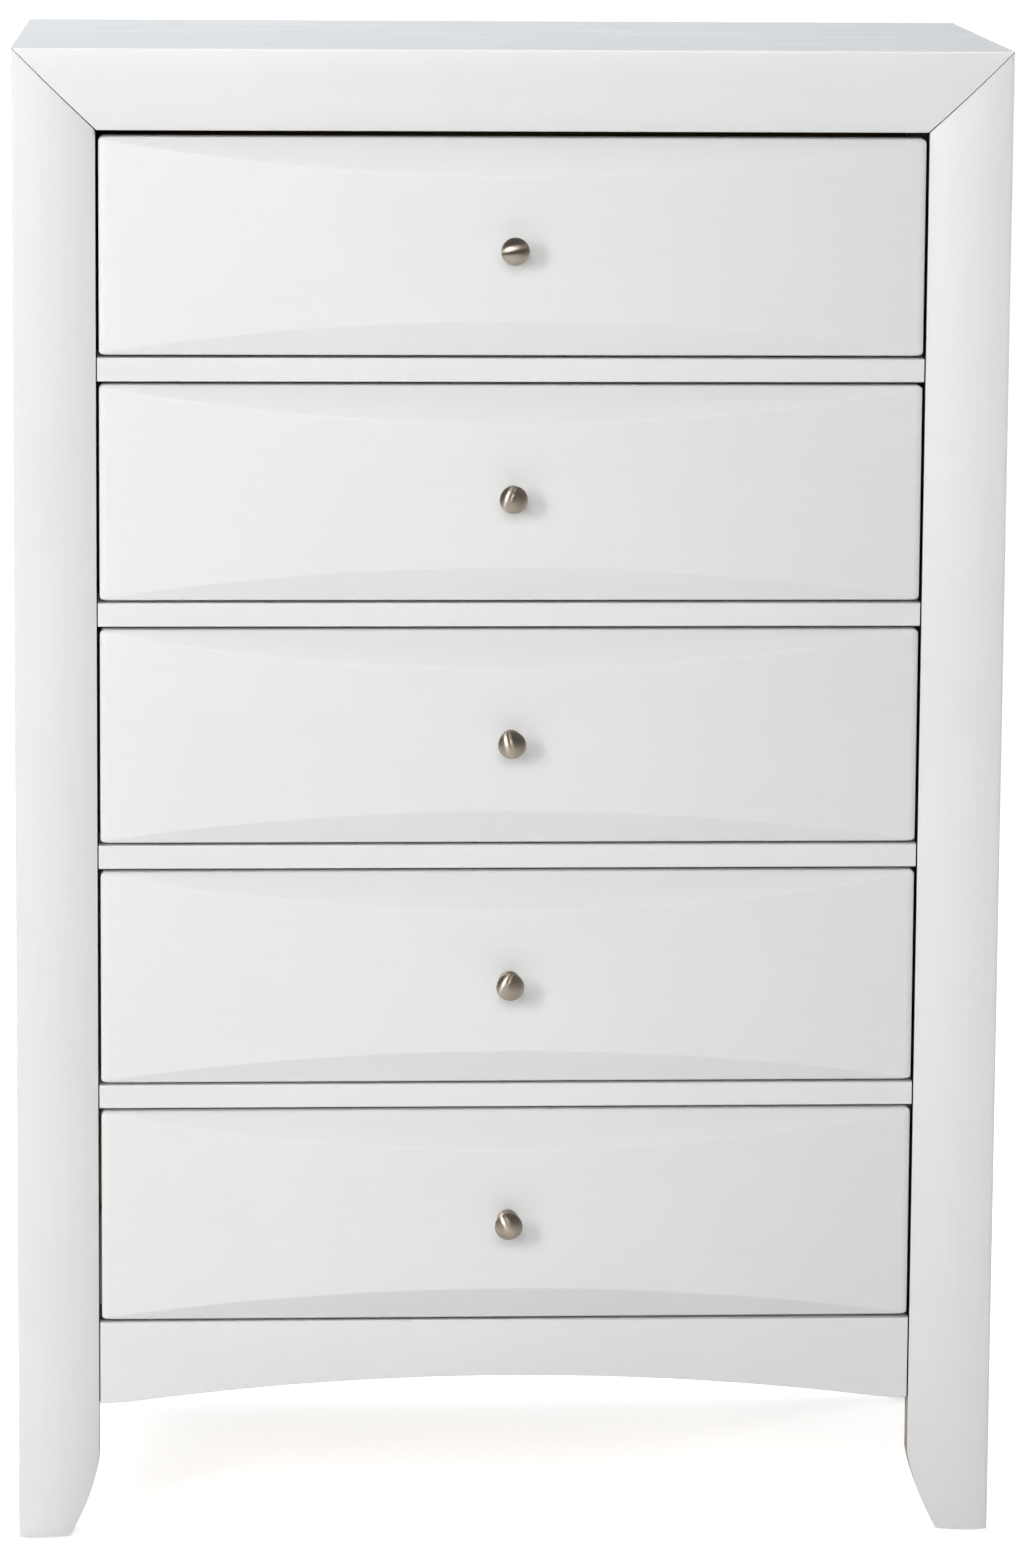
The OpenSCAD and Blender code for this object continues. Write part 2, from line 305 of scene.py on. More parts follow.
def top_lacquer_grain_and_sky_tint():
    """The top's thinner lacquer, with the grain showing from left to right, painted darker and blue-grey:
    painted shade and a painted reflection of bluish light from above.
    """
    paint = Paint("top_lacquer_grain_and_sky_tint", (0.74, 0.765, 0.79), 0.42)
    paint.shader.inputs["Specular IOR Level"].default_value = 0.5
    # every tone below keeps the painted blue-grey cast of reflected light
    paint.tint(paint.noise((1.6, 30, 30), detail=3), (0.70, 0.728, 0.755), strength=0.9)
    paint.tint(paint.noise((5, 90, 90), detail=6, roughness=0.75), (0.55, 0.59, 0.63), 0.45, 0.68, 0.6)
    paint.tint(paint.noise((8, 150, 150), detail=5, roughness=0.7), (0.90, 0.91, 0.925), 0.48, 0.70, 0.65)
    paint.tint(paint.noise((7, 520, 520), detail=6, roughness=0.7), (0.60, 0.64, 0.675), 0.5, 0.72, 0.55)
    paint.tint(paint.noise((11, 900, 900), detail=4), (0.83, 0.845, 0.86), 0.55, 0.75, 0.5)
    paint.gloss(paint.noise((9, 400, 400), detail=5), 0.36, 0.52)
    paint.bump(paint.noise((8, 600, 600), detail=6), 0.12 * MM)
    return paint.material


def rubbed_paint_and_gap_shade(name, colour, patches):
    """Matte paint in patches of two tones: thin brownish paint where the lacquer was rubbed off, or, in near
    black and dark grey, painted shade on faces in and behind the gaps.
    """
    paint = Paint(name, colour, 0.5)
    paint.shader.inputs["Specular IOR Level"].default_value = 0.0
    paint.tint(paint.noise((30, 30, 30), detail=3), patches, strength=0.8)
    paint.bump(paint.noise((300, 300, 300)), 0.05 * MM)
    return paint.material


def planed(name, axis, light, dark, pore=0.45):
    """Planed wood with long grain along the axis, soft growth bands and short pores."""
    paint = Paint(name, light, 0.55)
    paint.shader.inputs["Specular IOR Level"].default_value = 0.35
    paint.tint(paint.noise(along(axis, 1.5, 28), detail=3, distortion=0.6), dark, strength=0.75)
    pores = paint.noise(along(axis, 25, 900), detail=4, roughness=0.7)
    paint.tint(pores, tuple(0.6 * c for c in dark), 0.56, 0.76, pore)
    paint.tint(paint.noise((2.2, 2.2, 2.2), detail=2), tuple(1.08 * c for c in light), strength=0.4)
    paint.gloss(paint.noise(along(axis, 12, 300)), 0.48, 0.66)
    paint.bump(pores, 0.10 * MM)
    return paint.material


def hardboard():
    """Pressed fibres: flecks of two sizes over a plain brown."""
    paint = Paint("hardboard", (0.40, 0.265, 0.155), 0.62)
    paint.tint(paint.noise((500, 500, 500), detail=5, roughness=0.75), (0.27, 0.165, 0.09), 0.45, 0.7, 0.8)
    paint.tint(paint.noise((90, 900, 220), detail=3), (0.55, 0.39, 0.25), 0.58, 0.78, 0.6)
    paint.tint(paint.noise((1.5, 1.5, 1.5), detail=2), (0.36, 0.24, 0.14), strength=0.5)
    paint.gloss(paint.noise((30, 30, 30)), 0.5, 0.7)
    paint.bump(paint.noise((700, 700, 700), detail=3), 0.06 * MM)
    return paint.material


def nickel(n):
    """Nickel brushed in straight strokes, whose gloss runs at a different angle on each knob."""
    angle = math.radians(GLOSS_ANGLES[n - 1])
    paint = Paint(f"brushed_nickel_{n}", (0.53, 0.465, 0.385), 0.32, metallic=1.0)
    paint.shader.inputs["Anisotropic"].default_value = 0.95
    strokes = paint.node("CombineXYZ")
    strokes.inputs["X"].default_value = math.cos(angle)
    strokes.inputs["Z"].default_value = math.sin(angle)
    paint.tree.links.new(strokes.outputs["Vector"], paint.shader.inputs["Tangent"])
    turned = paint.node("VectorRotate", rotation_type="Y_AXIS")
    turned.inputs["Angle"].default_value = angle
    paint.tree.links.new(paint.place, turned.inputs["Vector"])
    paint.place = turned.outputs["Vector"]
    paint.tint(paint.noise((1600, 120, 120), detail=3), (0.45, 0.39, 0.315), strength=0.6)
    paint.gloss(paint.noise((2200, 150, 150), detail=3), 0.30, 0.38)
    paint.bump(paint.noise((2600, 180, 180), detail=2), 0.006 * MM)
    return paint.material


def zinc():
    """Bright zinc plate with a faint spangle and marks drawn along Y."""
    paint = Paint("zinc_plate", (0.58, 0.60, 0.62), 0.34, metallic=1.0)
    paint.tint(paint.noise((160, 160, 160), detail=2), (0.50, 0.53, 0.57), strength=0.7)
    paint.tint(paint.noise((900, 9, 900), detail=3), (0.66, 0.67, 0.67), 0.5, 0.7, 0.5)
    paint.gloss(paint.noise((700, 12, 700), detail=4), 0.26, 0.46)
    paint.bump(paint.noise((1200, 10, 1200), detail=2), 0.01 * MM)
    return paint.material


def plastic(name, colour, roughness):
    """Moulded plastic with a fine spark-eroded texture."""
    paint = Paint(name, colour, roughness)
    paint.tint(paint.noise((40, 40, 40), detail=2), tuple(0.93 * c for c in colour), strength=0.7)
    paint.gloss(paint.noise((300, 300, 300)), roughness - 0.05, roughness + 0.07)
    paint.bump(paint.noise((1500, 1500, 1500), detail=1), 0.02 * MM)
    return paint.material


UPRIGHT_LACQUER = lacquer("white_lacquer_upright", "z")
LEVEL_LACQUER = lacquer("white_lacquer_level", "x")
TOP_LACQUER_GRAIN_AND_SKY_TINT = top_lacquer_grain_and_sky_tint()
# dark grey painted shade for the rear apron's inner face, which shows through the gaps beside the drawers
GAP_SHADE_GREY = rubbed_paint_and_gap_shade("painted_gap_shade_grey", (0.28, 0.27, 0.255), (0.36, 0.35, 0.33))
FOOT_EDGE = rubbed_paint_and_gap_shade("rubbed_foot_edge", (0.50, 0.45, 0.39), (0.60, 0.55, 0.49))
# near-black painted shade for the faces in the gaps: the mitred ends, the posts' inner sides and the apron's
# end tongues
PAINTED_GAP_SHADE = rubbed_paint_and_gap_shade("painted_gap_shade_dark", (0.035, 0.025, 0.02), (0.06, 0.043, 0.034))
SIDE_WOOD = planed("drawer_side_wood", "y", (0.56, 0.42, 0.26), (0.46, 0.32, 0.185))
BACK_WOOD = planed("drawer_back_wood", "x", (0.56, 0.42, 0.26), (0.46, 0.32, 0.185))
PLY = planed("drawer_bottom_ply", "x", (0.62, 0.48, 0.31), (0.52, 0.375, 0.225), pore=0.3)
BARE_WOOD = planed("bare_frame_wood", "x", (0.50, 0.36, 0.215), (0.40, 0.27, 0.15))
BARE_UPRIGHT = planed("bare_upright_wood", "z", (0.50, 0.36, 0.215), (0.40, 0.27, 0.15))
HARDBOARD = hardboard()
ZINC = zinc()
NYLON = plastic("white_nylon", (0.78, 0.765, 0.71), 0.42)
BROWN_PLASTIC = plastic("brown_plastic", (0.055, 0.035, 0.022), 0.5)


# ---- The mitred front frame ----


def crown(u):
    """How far the rounded front stands back at a distance from the outer edge."""
    return CROWN_R - math.sqrt(CROWN_R**2 - (u - CROWN_U) ** 2)


def frame_ring(width):
    """The section of the posts and the rail, cut to a width: (from the edge, from the front)."""
    corner_v = CORNER_R + crown(CORNER_R)
    steps = 26
    ring = [
        (width + (CORNER_R - width) * i / steps, crown(width + (CORNER_R - width) * i / steps))
        for i in range(steps)
    ]
    ring += arc((CORNER_R, corner_v), CORNER_R, 270, 180, 8)
    return ring + [(0.0, FRAME_T), (width, FRAME_T)]


def loft(rings):
    """A closed solid through rings of points."""
    bm = bmesh.new()
    loops = [[bm.verts.new(p) for p in ring] for ring in rings]
    for lower, upper in zip(loops, loops[1:]):
        for i in range(len(lower)):
            j = (i + 1) % len(lower)
            bm.faces.new((lower[i], lower[j], upper[j], upper[i]))
    bm.faces.new(loops[0])
    bm.faces.new(loops[-1])
    bmesh.ops.recalc_face_normals(bm, faces=bm.faces)
    return bm


def foot_width(z):
    """The width of a post at a height, with its foot's rounded taper."""
    if z >= TAPER_Z:
        return FRAME_W
    chord = math.hypot(FRAME_W - FOOT_W, TAPER_Z)
    across = math.sqrt(TAPER_R**2 - chord**2 / 4) / chord
    centre_u = (FRAME_W + FOOT_W) / 2 - TAPER_Z * across
    centre_z = TAPER_Z / 2 + (FRAME_W - FOOT_W) * across
    return centre_u + math.sqrt(TAPER_R**2 - (z - centre_z) ** 2)


def top_rebate():
    """The room that the top panel takes from the back of the frame."""
    spare = 10 * MM
    return block((-HALF_W - spare, top_low.y, top_low.z), (HALF_W + spare, BACK_Y, TOP_Z + spare))


def on_mitre(point):
    """True near the slanted ends where a post and the top rail meet."""
    return abs((TOP_Z - point.z) - (HALF_W - abs(point.x))) < MITRE_REACH


def paint_gap_shade_and_foot_edges(obj, inwards=0):
    """Paints the mitred ends and a post's inner side near black as painted shade in the gaps; below the
    apron the inner side gets the lighter tan paint of the foot.
    """
    foot_edge, gap_shade_index = 1, 2
    obj.data.materials.append(FOOT_EDGE)
    obj.data.materials.append(PAINTED_GAP_SHADE)
    for face in obj.data.polygons:
        normal = face.normal
        slanted = abs(abs(normal.x) - abs(normal.z)) < 0.1 and abs(normal.y) < 0.1
        # Near-black painted shade on the mitred ends and, above the apron, on the post's inner side.
        if slanted and on_mitre(face.center):
            face.material_index = gap_shade_index
        elif normal.x * inwards > 0.8:
            face.material_index = foot_edge if face.center.z < APRON_Z else gap_shade_index


def front_post(side, name):
    """A post: side is -1 for the left one and 1 for the right one."""
    taper_steps = 12
    stations = [FOOT_Z + (TAPER_Z - FOOT_Z) * i / taper_steps for i in range(taper_steps + 1)]
    middle_heights = (0.4, 0.8)
    stations += [APRON_Z, *middle_heights, TOP_Z - FRAME_W - 4 * MM]
    rings = []
    for z in stations:
        rings.append([(side * (HALF_W - u), FRONT_Y + v, z) for u, v in frame_ring(foot_width(z))])
    rings.append([(side * (HALF_W - u), FRONT_Y + v, TOP_Z - u) for u, v in frame_ring(FRAME_W)])
    bm = cut(loft(rings), top_rebate())
    ease(bm, FINE_R, lambda a, b: on_mitre(a) and on_mitre(b) and abs(a.x - b.x) < 0.1, segments=2)
    inner_x = OPEN_X + 0.5 * MM
    ease(bm, FINE_R, lambda a, b: max(abs(a.x), abs(b.x)) < inner_x and abs(a.z - b.z) > 0.02,
         segments=2)
    ease(bm, EDGE_R, lambda a, b: not (on_mitre(a) or on_mitre(b) or abs(a.x) < inner_x))
    obj = place(link(name, bm), CARCASS, "white_paint", UPRIGHT_LACQUER, name)
    paint_gap_shade_and_foot_edges(obj, inwards=-side)
    weighted(obj)


def top_front_rail():
    near, far = MITRE_GAP
    def ring(side):
        return [
            (side * (HALF_W - u - near - (far - near) * u / FRAME_W), FRONT_Y + v, TOP_Z - u)
            for u, v in frame_ring(FRAME_W)
        ]
    bm = cut(loft([ring(-1), ring(1)]), top_rebate())
    ease(bm, FINE_R, lambda a, b: abs(a.x - b.x) < 0.1, segments=2)
    ease(bm, 0.6 * MM, lambda a, b: abs(a.x - b.x) > 0.1)
    obj = place(link("top_front_rail", bm), CARCASS, "white_paint", LEVEL_LACQUER, "top_front_rail")
    paint_gap_shade_and_foot_edges(obj)
    weighted(obj)


# ---- Rails, apron, boards ----


def board(name, radius, slot, material, body=CARCASS, inner=None, inside=None):
    """A plain board with eased edges. The faces that inside picks get the inner material."""
    obj = place(link(name, ease(block(*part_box(name)), radius)), body, slot, material, name)
    if inside:
        obj.data.materials.append(inner)
        for face in obj.data.polygons:
            face.material_index = int(inside(face.normal))
    weighted(obj)


def drawer_rail(name):
    """A rail notched round the posts, with a rounder edge along its front."""
    low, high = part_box(name)
    left, right = SEAM_LEFT - OPEN_X, OPEN_X - SEAM_RIGHT
    outline = [
        (left, low.y), (right, low.y), (right, POST_BACK_Y), (high.x, POST_BACK_Y),
        (high.x, high.y), (low.x, high.y), (low.x, POST_BACK_Y), (left, POST_BACK_Y),
    ]
    bm = prism(outline, "z", low.z, high.z)
    front = lambda a, b: max(a.y, b.y) < low.y + 0.5 * MM and abs(a.x - b.x) > 0.1
    ease(bm, 1.1 * MM, front)
    weighted(place(link(name, bm), CARCASS, "white_paint", LEVEL_LACQUER, name))


def front_apron():
    """The apron, whose arch runs smoothly into its flat ends. A tongue at each end meets the post, and it
    and the end faces are painted near black as painted shade in the seams.
    """
    low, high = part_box("front_apron")
    arch_half = 320 * MM
    rise = 21.5 * MM
    blend = 1.2 * MM
    radius = (arch_half**2 + rise**2) / (2 * rise)
    steps = 96
    def under(x):
        over = math.sqrt(radius**2 - x**2) + rise - radius
        return low.z + (over + math.hypot(over, blend)) / 2
    left, right = SEAM_LEFT - OPEN_X, OPEN_X - SEAM_RIGHT
    xs = [left + (right - left) * i / steps for i in range(steps + 1)]
    outline = [(x, under(x)) for x in xs] + [(right, high.z), (left, high.z)]
    bm = prism(outline, "y", low.y, high.y)
    ease(bm, 1.1 * MM, lambda a, b: max(a.y, b.y) < low.y + 0.5 * MM and abs(a.z - b.z) < 0.01)
    shade_tongues = ((-OPEN_X, left), (right, OPEN_X))
    shade_tongue_inset = 1 * MM
    for start, stop in shade_tongues:
        near = Vector((start, low.y + 3 * MM, low.z + shade_tongue_inset))
        far = Vector((stop, high.y - shade_tongue_inset, high.z - shade_tongue_inset))
        size = Matrix.Diagonal((*(far - near), 1))
        bmesh.ops.create_cube(bm, size=1, matrix=Matrix.Translation((near + far) / 2) @ size)
    obj = place(link("front_apron", bm), CARCASS, "white_paint", LEVEL_LACQUER, "front_apron")
    # Near-black painted shade on the tongues and the apron's end faces, so the seams at the posts read dark.
    obj.data.materials.append(PAINTED_GAP_SHADE)
    spare = 0.1 * MM
    for face in obj.data.polygons:
        x = face.center.x
        face.material_index = int(x < left - spare or x > right + spare)
    weighted(obj)


def rear_leg(side, name):
    """A rear leg with the rebate that holds the back panel."""
    low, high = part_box(name)
    panel_low, panel_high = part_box("back_panel")
    outer = side * HALF_W
    inner = side * min(abs(low.x), abs(high.x))
    lip = side * panel_high.x
    outline = [
        (outer, low.y), (inner, low.y), (inner, panel_low.y),
        (lip, panel_low.y), (lip, high.y), (outer, high.y),
    ]
    bm = ease(prism(outline, "z", low.z, high.z), EDGE_R)
    weighted(place(link(name, bm), CARCASS, "white_paint", UPRIGHT_LACQUER, name))


def carcass():
    front_post(-1, "left_front_post")
    front_post(1, "right_front_post")
    top_front_rail()
    for n in DRAWERS:
        if n < 5:
            drawer_rail(f"drawer_rail_{n}")
    front_apron()
    rear_leg(-1, "left_rear_leg")
    rear_leg(1, "right_rear_leg")
    board("left_side_panel", EDGE_R, "white_paint", UPRIGHT_LACQUER,
          inner=BARE_UPRIGHT, inside=lambda normal: normal.x > 0.9)
    board("right_side_panel", EDGE_R, "white_paint", UPRIGHT_LACQUER,
          inner=BARE_UPRIGHT, inside=lambda normal: normal.x < -0.9)
    # The rear apron's inner face gets dark grey painted shade, seen through the gaps beside the drawers.
    board("rear_apron", EDGE_R, "white_paint", LEVEL_LACQUER,
          inner=GAP_SHADE_GREY, inside=lambda normal: normal.y < -0.9)
    board("top_panel", FINE_R, "top_paint", TOP_LACQUER_GRAIN_AND_SKY_TINT,
          inner=BARE_WOOD, inside=lambda normal: normal.z < -0.9)
    board("back_panel", FINE_R, "back_board", HARDBOARD)


# ---- Drawers ----


def rim(distance, radius):
    """How far a rounded edge falls away at a distance from the edge."""
    if distance >= radius:
        return 0.0
    return radius - math.sqrt(radius**2 - (radius - distance) ** 2)


def rim_steps(radius, count=6):
    """Distances from an edge that follow its rounding evenly."""
    return [radius * (1 - math.cos(math.pi / 2 * i / count)) for i in range(count + 1)]


def front_columns(half):
    """Positions across a drawer front, closer together at the rounded sides."""
    edges = rim_steps(SIDE_ROUND)
    inner = half - SIDE_ROUND
    between = 64
    left = [-half + d for d in edges]
    middle = [-inner + 2 * inner * i / between for i in range(1, between)]
    return left + middle + [-x for x in reversed(left)]


def front_heights(height, crease):
    """Positions up a drawer front: the rim, the bevel, its crease and the bowed face."""
    soft = 1.2 * MM  # width of the crease's rounding on either side
    rim_rows = rim_steps(EDGE_ROUND, 4)
    crease = max(crease, EDGE_ROUND + 2.5 * soft)
    bevel_rows = [EDGE_ROUND + (crease - soft - EDGE_ROUND) * i / 3 for i in (1, 2, 3)]
    low = rim_rows + bevel_rows + [crease, crease + soft]
    start, end = low[-1], height - low[-1]
    face_rows = [start + (end - start) * i / 10 for i in range(1, 10)]
    return low + face_rows + [height - z for z in reversed(low)]


def drawer_front(n):
    """The bowed front: flat bevels meet the bow along curves that the mesh's rows follow."""
    name = f"drawer_{n}_front"
    low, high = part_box(name)
    half, height = high.x, high.z - low.z
    bow_r = (half**2 + BOW**2) / (2 * BOW)
    bm = bmesh.new()
    grid = []
    for x in front_columns(half):
        drop = bow_r - math.sqrt(bow_r**2 - x**2)
        column = []
        for z in front_heights(height, BEVEL_H * (1 - drop / BEVEL_SET)):
            edge = min(z, height - z)
            bevel = BEVEL_SET * (1 - edge / BEVEL_H)
            y = low.y + max(drop, bevel) + SIDE_FALL * rim(half - abs(x), SIDE_ROUND) + rim(edge, EDGE_ROUND)
            shrink = 1 - rim(edge, CORNER_ROUND) / half
            column.append(bm.verts.new((x * shrink, y, low.z + z)))
        grid.append(column)
    for a, b in zip(grid, grid[1:]):
        for i in range(len(a) - 1):
            bm.faces.new((a[i], b[i], b[i + 1], a[i + 1]))
    around = [c[0] for c in grid] + grid[-1][1:] + [c[-1] for c in reversed(grid[:-1])]
    around += list(reversed(grid[0][1:-1]))
    last = around
    back_round, half_round = 1.5 * MM, 0.4 * MM
    for inset, y in ((0.0, high.y - back_round), (half_round, high.y - half_round), (back_round, high.y)):
        ring = []
        for vert in around:
            x = max(-half + inset, min(half - inset, vert.co.x))
            z = max(low.z + inset, min(high.z - inset, vert.co.z))
            ring.append(bm.verts.new((x, y, z)))
        for i, vert in enumerate(last):
            j = (i + 1) % len(last)
            bm.faces.new((vert, last[j], ring[j], ring[i]))
        last = ring
    bm.faces.new(last)
    obj = place(link(name, bm), f"drawer_{n}", "white_paint", LEVEL_LACQUER, name)
    obj.modifiers.new("weighted_normals", "WEIGHTED_NORMAL").weight = 50


def drawer_knob(n):
    """A turned knob: a round foot, a waisted neck, a flared underside and a shallow domed head."""
    name = f"drawer_{n}_knob"
    low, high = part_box(name)
    r = (high.x - low.x) / 2
    length = high.y - low.y
    foot_r, foot_round = 9.0 * MM, 0.7 * MM
    neck = 4.9 * MM
    flare_z, flare_length, flare_power = 10.6 * MM, 9.3 * MM, 1.6
    rim_z = 20.6 * MM
    rim_round = 0.8 * MM
    profile = [(0.0, 0.0), (foot_r, 0.0)]
    profile += arc((8.3 * MM, 1.4 * MM), foot_round, 0, 90, 5)
    profile += [(7.4 * MM, 2.25 * MM), (6.4 * MM, 2.75 * MM), (5.6 * MM, 3.7 * MM), (neck, 5.4 * MM)]
    profile += [(neck - 0.1 * MM, 8.0 * MM), (neck, flare_z)]
    for i in range(1, 13):
        t = i / 12
        profile.append((neck + (r - 0.6 * MM - neck) * t**flare_power, flare_z + flare_length * t))
    profile += arc((r - rim_round, rim_z), rim_round, -50, 55, 7)
    edge_r, edge_z = profile[-1]
    dome = length - edge_z
    dome_r = (edge_r**2 + dome**2) / (2 * dome)
    spread = math.asin(edge_r / dome_r)
    for i in range(1, 15):
        t = spread * (1 - i / 14)
        profile.append((dome_r * math.sin(t), length - dome_r * (1 - math.cos(t))))
    bm = lathe(profile, 72)
    turn = Matrix.Rotation(math.radians(90), 4, "X")
    move = Matrix.Translation(((low.x + high.x) / 2, high.y, (low.z + high.z) / 2))
    bmesh.ops.transform(bm, matrix=move @ turn, verts=bm.verts)
    place(link(name, bm), f"drawer_{n}", "brushed_nickel", nickel(n), name)


def drawer_side(n, side, name):
    """A side with a rounded top edge and the groove that holds the bottom."""
    low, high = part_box(name)
    bottom_low, bottom_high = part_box(f"drawer_{n}_bottom")
    outer = side * max(abs(low.x), abs(high.x))
    inner = side * min(abs(low.x), abs(high.x))
    groove = side * bottom_high.x
    outline = [
        (outer, low.z), (inner, low.z), (inner, bottom_low.z), (groove, bottom_low.z),
        (groove, bottom_high.z), (inner, bottom_high.z), (inner, high.z), (outer, high.z),
    ]
    bm = prism(outline, "y", low.y, high.y)
    ease(bm, 3.0 * MM, lambda a, b: min(a.z, b.z) > high.z - MM and abs(a.y - b.y) > 0.1, segments=5)
    ease(bm, 0.5 * MM, lambda a, b: max(a.z, b.z) < low.z + MM, segments=2)
    weighted(place(link(name, bm), f"drawer_{n}", "box_wood", SIDE_WOOD, name))


def knob_screw(n):
    """The pan-headed screw and washer that hold the knob, on the inside of the front."""
    front_low, front_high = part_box(f"drawer_{n}_front")
    centre = Vector((0.0, front_high.y, (front_low.z + front_high.z) / 2))
    shank_r, washer_r, head_r = 2.0 * MM, 5.5 * MM, 4.0 * MM
    tip = -20 * MM
    profile = [(0.0, tip), (shank_r, tip), (shank_r, 0.0), (washer_r, 0.0)]
    profile += [(washer_r, 0.8 * MM), (head_r, 0.95 * MM), (head_r, 1.6 * MM)]
    profile += arc((2.4 * MM, 1.6 * MM), 1.6 * MM, 10, 90, 6) + [(0.0, 3.25 * MM)]
    screw = lathe(profile, 40)
    slot_l, slot_w, slot_z = 4.4 * MM, 0.9 * MM, 2.0 * MM
    for length, width in ((slot_l, slot_w), (slot_w, slot_l)):
        screw = cut(screw, block((-length / 2, -width / 2, slot_z), (length / 2, width / 2, 5 * MM)))
    turn = Matrix.Rotation(math.radians(-90), 4, "X")
    bmesh.ops.transform(screw, matrix=Matrix.Translation(centre) @ turn, verts=screw.verts)
    obj = place(link(f"drawer_{n}_knob_screw", screw), f"drawer_{n}", "zinc_steel", ZINC)
    obj.data.set_sharp_from_angle(angle=math.radians(35))


def drawer(n):
    drawer_front(n)
    drawer_knob(n)
    drawer_side(n, -1, f"drawer_{n}_left_side")
    drawer_side(n, 1, f"drawer_{n}_right_side")
    board(f"drawer_{n}_back", 1.2 * MM, "box_wood", BACK_WOOD, body=f"drawer_{n}")
    knob_screw(n)


# ---- Hardware: CAD meshes with better materials, and small fasteners ----


def keep(name, material, edge=0.0):
    """A CAD node with a better material and, where it helps, eased edges."""
    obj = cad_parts[name]
    obj.data.materials.clear()
    obj.data.materials.append(material)
    if edge:
        bevel = obj.modifiers.new("eased_edges", "BEVEL")
        bevel.width = edge
        bevel.segments = 2
        bevel.limit_method = "ANGLE"
        bevel.angle_limit = math.radians(40)
        bevel.harden_normals = True


def track_screw(n):
    """The round-headed screw that holds the front end of a track on its rail."""
    low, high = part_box(f"glide_track_{n}")
    track_floor = low.z + 1.2 * MM
    tip, shank_r, head_r = -12 * MM, 1.4 * MM, 3.4 * MM
    profile = [(0.0, tip), (shank_r, tip), (shank_r, 0.0), (head_r, 0.0)]
    profile += arc((2.2 * MM, 0.4 * MM), 1.2 * MM, 0, 90, 5) + [(0.0, 1.65 * MM)]
    screw = lathe(profile, 32)
    bmesh.ops.translate(screw, vec=(0.0, low.y + 12 * MM, track_floor), verts=screw.verts)
    obj = place(link(f"track_screw_{n}", screw), CARCASS, "zinc_steel", ZINC)
    obj.data.set_sharp_from_angle(angle=math.radians(35))


def back_staples():
    """Wire staples along the edges of the back panel, in one mesh."""
    low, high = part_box("back_panel")
    half_l, half_t, proud = 5 * MM, 0.6 * MM, 0.5 * MM
    side_inset, end_inset = 4.5 * MM, 0.03
    top_inset, bottom_inset, reach = 6 * MM, 24 * MM, 0.30
    staples = bmesh.new()

    def staple(x, z, level):
        a, b = (half_l, half_t) if level else (half_t, half_l)
        made = bmesh.ops.create_cube(staples, size=2.0)["verts"]
        place_at = Matrix.Translation((x, high.y, z)) @ Matrix.Diagonal((a, proud, b, 1.0))
        bmesh.ops.transform(staples, matrix=place_at, verts=made)

    for i in range(9):
        z = low.z + end_inset + (high.z - low.z - 2 * end_inset) * i / 8
        staple(low.x + side_inset, z, False)
        staple(high.x - side_inset, z, False)
    for i in range(6):
        x = reach * (2 * i / 5 - 1)
        staple(x, high.z - top_inset, True)
        staple(x, low.z + bottom_inset, True)
    ease(staples, 0.3 * MM, segments=2)
    place(link("back_staples", staples), CARCASS, "zinc_steel", ZINC)


def hardware():
    back_staples()
    keep("bottom_rail", BARE_WOOD, 0.8 * MM)
    keep("corner_blocks", BARE_UPRIGHT, 0.8 * MM)
    keep("track_sockets", NYLON, 0.5 * MM)
    keep("glide_pads", NYLON, 0.5 * MM)
    keep("foot_glides", BROWN_PLASTIC)
    for n in DRAWERS:
        track_screw(n)
        keep(f"glide_track_{n}", ZINC)
        keep(f"drawer_{n}_guide", NYLON, 0.5 * MM)
        keep(f"drawer_{n}_bottom", PLY)


# ---- Studio ----

FLOOR_GLOW = (0.70, 1.0)  # the floor's added light for the camera, near the chest and far away
SURROUND = (0.12, 1.05)  # the room's own light, and the white that the camera sees
FLOOR_HALF = 12.0  # half the floor's width
LIGHTS = (  # name, place, aim, size, watts and whether it shows in reflections
    ("key", (-1.75, -2.3, 1.6), (0.0, 0.0, 0.9), (0.7, 1.2), 32.8, True),
    ("front", (-0.1, -3.2, 2.1), (0.0, 0.0, 0.9), (2.2, 1.6), 34.8, False),
    ("streak", (-0.4, -3.2, 2.0), (0.0, 0.0, 0.8), (0.3, 1.0), 10.0, True),
    ("overhead", (0.0, 0.2, 3.0), (0.0, 0.2, 0.0), (2.0, 1.6), 31.1, False),
    ("top_left", (-1.8, 0.9, 2.4), (0.0, 0.0, 1.2), (1.2, 1.0), 25.0, False),
    ("rear", (-0.8, 3.0, 0.75), (0.0, 0.0, 0.6), (1.8, 1.1), 26.0, True),
    ("right", (2.9, 1.0, 0.8), (0.0, 0.0, 0.6), (1.4, 1.2), 40.0, True),
    ("left", (-2.9, 1.0, 0.8), (0.0, 0.0, 0.6), (1.4, 1.2), 15.0, True),
)


def area_light(name, at, aim, size, power, glossy):
    data = bpy.data.lights.new(name, "AREA")
    data.shape = "RECTANGLE"
    data.size, data.size_y = size
    data.energy = power
    light = bpy.data.objects.new(name, data)
    scene.collection.objects.link(light)
    light.visible_camera = False
    light.visible_glossy = glossy
    light.location = at
    light.rotation_euler = (Vector(aim) - Vector(at)).to_track_quat("-Z", "Y").to_euler()


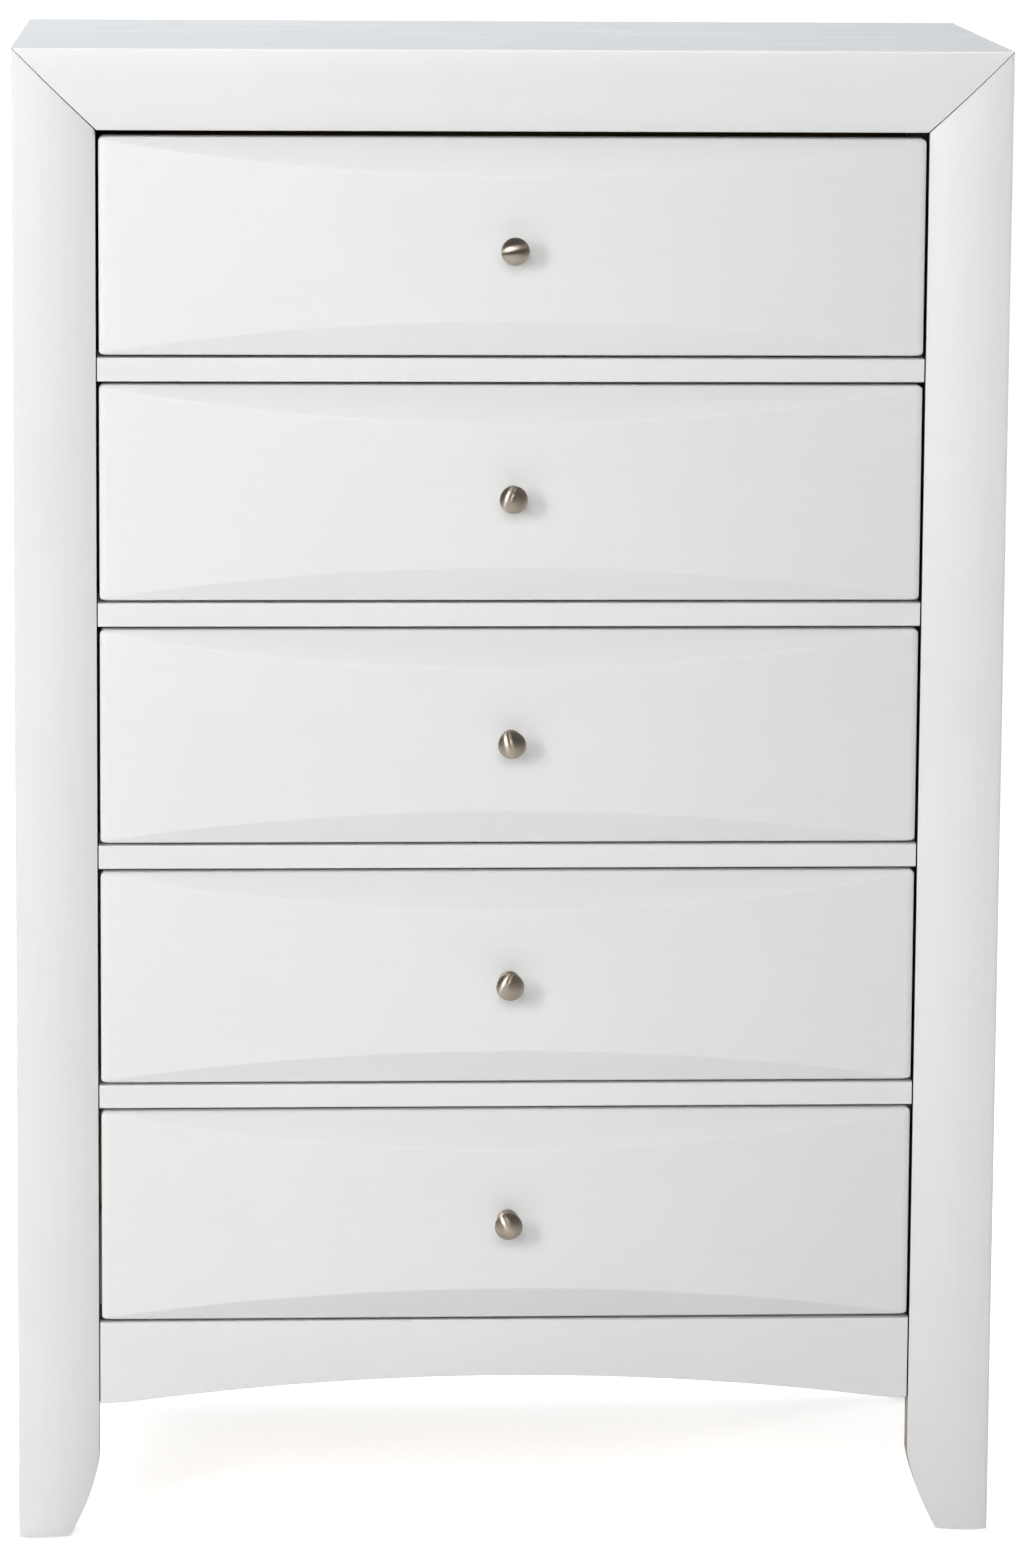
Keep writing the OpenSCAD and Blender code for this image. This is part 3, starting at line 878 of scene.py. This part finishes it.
def studio():
    """A pale floor, a white surround and soft lights from the front, above, behind and both sides."""
    floor = link("floor", block((-FLOOR_HALF, -FLOOR_HALF, -0.02), (FLOOR_HALF, FLOOR_HALF, 0.0)))
    paint = Paint("pale_floor", (0.80, 0.80, 0.80), 0.9)
    paint.shader.inputs["Emission Color"].default_value = (1.0, 1.0, 1.0, 1.0)
    distance = paint.node("VectorMath", operation="LENGTH")
    paint.tree.links.new(paint.place, distance.inputs[0])
    glow = paint.spread(distance.outputs["Value"], *FLOOR_GLOW, 1.0, 4.0)
    seen = paint.node("Math", operation="MULTIPLY")
    paint.tree.links.new(glow, seen.inputs[0])
    paint.tree.links.new(paint.node("LightPath").outputs["Is Camera Ray"], seen.inputs[1])
    paint.tree.links.new(seen.outputs["Value"], paint.shader.inputs["Emission Strength"])
    floor.data.materials.append(paint.material)

    world = bpy.data.worlds.new("studio")
    world.use_nodes = True
    scene.world = world
    background = world.node_tree.nodes["Background"]
    background.inputs["Color"].default_value = (1.0, 1.0, 1.0, 1.0)
    level = world.node_tree.nodes.new("ShaderNodeMapRange")
    level.inputs["To Min"].default_value, level.inputs["To Max"].default_value = SURROUND
    path = world.node_tree.nodes.new("ShaderNodeLightPath")
    world.node_tree.links.new(path.outputs["Is Camera Ray"], level.inputs["Value"])
    world.node_tree.links.new(level.outputs["Result"], background.inputs["Strength"])

    for light in LIGHTS:
        area_light(*light)
    scene.view_settings.view_transform = "Standard"


def camera():
    """The camera stands a little to the left and above, and looks slightly down."""
    yaw, pitch, roll = math.radians(-2.807), math.radians(8.035), math.radians(0.405)
    right = Vector((math.cos(yaw), math.sin(yaw), 0.0))
    ahead = Vector((-math.sin(yaw), math.cos(yaw), 0.0))
    up = Vector((0.0, 0.0, 1.0))
    ahead, up = (
        math.cos(pitch) * ahead - math.sin(pitch) * up,
        math.sin(pitch) * ahead + math.cos(pitch) * up,
    )
    right, up = (
        math.cos(roll) * right + math.sin(roll) * up,
        math.cos(roll) * up - math.sin(roll) * right,
    )
    data = bpy.data.cameras.new("camera")
    data.sensor_fit = "AUTO"
    data.sensor_width = 36.0
    data.lens = 128.35
    data.shift_y = -0.19
    data.clip_end = 100.0
    obj = bpy.data.objects.new("camera", data)
    scene.collection.objects.link(obj)
    obj.matrix_world = Matrix.Translation((-0.2213, -4.6949, 1.5271)) @ Matrix(
        (right, up, -ahead)
    ).transposed().to_4x4()
    scene.camera = obj


camera()
carcass()
for n in DRAWERS:
    drawer(n)
hardware()
studio()
